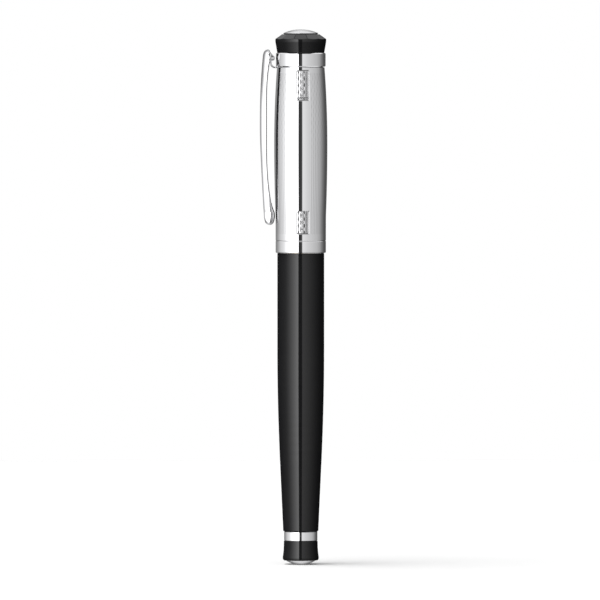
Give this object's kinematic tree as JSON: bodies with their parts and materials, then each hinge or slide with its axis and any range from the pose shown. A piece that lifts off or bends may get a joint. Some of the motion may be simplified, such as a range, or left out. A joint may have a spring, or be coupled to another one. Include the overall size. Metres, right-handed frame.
{
  "type": "rollerball pen",
  "caption": "Capped rollerball pen: black tapered barrel, swelling chromed cap with a hinged clip, facetted crown and domed ends, opening down to its refill.",
  "frame": {"origin": "centre of the small flat in the middle of the tail's dome, the pen's lowest point when it stands on its tail", "axes": "+Z along the pen's axis from the tail to the crown, -X towards the clip, the engraved panels face -Y and +Y"},
  "size_m": [0.0175, 0.0138, 0.138],
  "materials": {
    "barrel_lacquer": "deep black gloss lacquer over brass",
    "tail_lacquer": "deep black gloss lacquer",
    "crown_lacquer": "deep black gloss lacquer",
    "cap_chrome": "bright chrome with engraved fields",
    "band_chrome": "bright chrome",
    "ring_chrome": "bright chrome",
    "clip_chrome": "bright chrome",
    "trim_chrome": "bright chrome",
    "medallion_silver": "satin silver, finely turned",
    "bush_brass": "turned brass",
    "plug_brass": "turned brass",
    "sleeve_brass": "turned brass",
    "fastener_steel": "turned steel",
    "spring_steel": "spring wire",
    "refill_steel": "thin drawn steel tube",
    "tip_steel": "turned nickel silver",
    "ball_carbide": "ground carbide",
    "grip_plastic": "black moulded plastic",
    "liner_plastic": "moulded liner plastic",
    "refill_plastic": "moulded black plastic",
    "filler_fibre": "ink-soaked fibre",
    "feed_fibre": "pressed fibre rod"
  },
  "bodies": {
    "barrel": {"barrel_tube": "barrel_lacquer", "barrel_bush": "bush_brass", "tail_ring": "trim_chrome", "tail_piece": "tail_lacquer", "tail_medallion": "medallion_silver", "tail_screw": "fastener_steel", "tail_plug": "plug_brass", "refill_spring": "spring_steel"},
    "refill": {"refill_tube": "refill_steel", "refill_filler": "filler_fibre", "refill_feed_rod": "feed_fibre", "refill_nose": "refill_plastic", "refill_tip": "tip_steel", "refill_end_plug": "refill_plastic"},
    "ball": {"tip_ball": "ball_carbide"},
    "clutch": {"section_ring": "trim_chrome"},
    "section": {"grip_section": "grip_plastic", "thread_sleeve": "sleeve_brass", "nose_ring": "trim_chrome", "snap_ring": "spring_steel"},
    "cap": {"cap_shell": "cap_chrome", "cap_band": "band_chrome", "inner_cap": "liner_plastic", "cap_screw": "fastener_steel", "screw_washer": "fastener_steel", "clip_bracket": "clip_chrome", "cap_ring": "ring_chrome", "crown": "crown_lacquer", "crown_medallion": "medallion_silver"},
    "clip": {"clip_arm": "clip_chrome", "clip_pin": "clip_chrome"}
  },
  "joints": [
    {"name": "refill_draw", "type": "slide", "parent": "barrel", "child": "refill", "axis": [0, 0, 1], "range_m": [0, 0.072]},
    {"name": "ring_lift", "type": "slide", "parent": "refill", "child": "clutch", "axis": [0, 0, 1], "range_m": [0, 0.0056]},
    {"name": "section_turn", "type": "hinge", "parent": "clutch", "child": "section", "pos_m": [0, 0, 0.0812], "axis": [0, 0, 1], "range_deg": [0, 1980]},
    {"name": "cap_pull", "type": "slide", "parent": "section", "child": "cap", "axis": [0, 0, 1], "range_m": [0, 0.05]},
    {"name": "clip_flex", "type": "hinge", "parent": "cap", "child": "clip", "pos_m": [-0.00738, 0, 0.1306], "axis": [0, 1, 0], "range_deg": [0, 5], "stiffness_Nm_per_rad": 1, "springref_deg": -2.86},
    {"name": "ball_roll", "type": "hinge", "parent": "refill", "child": "ball", "pos_m": [0, 0, 0.12225], "axis": [1, 0, 0], "continuous": true}
  ],
  "couplings": [
    {"joint": "ring_lift", "follows": "section_turn", "m_per_rad": 0.00015915}
  ]
}
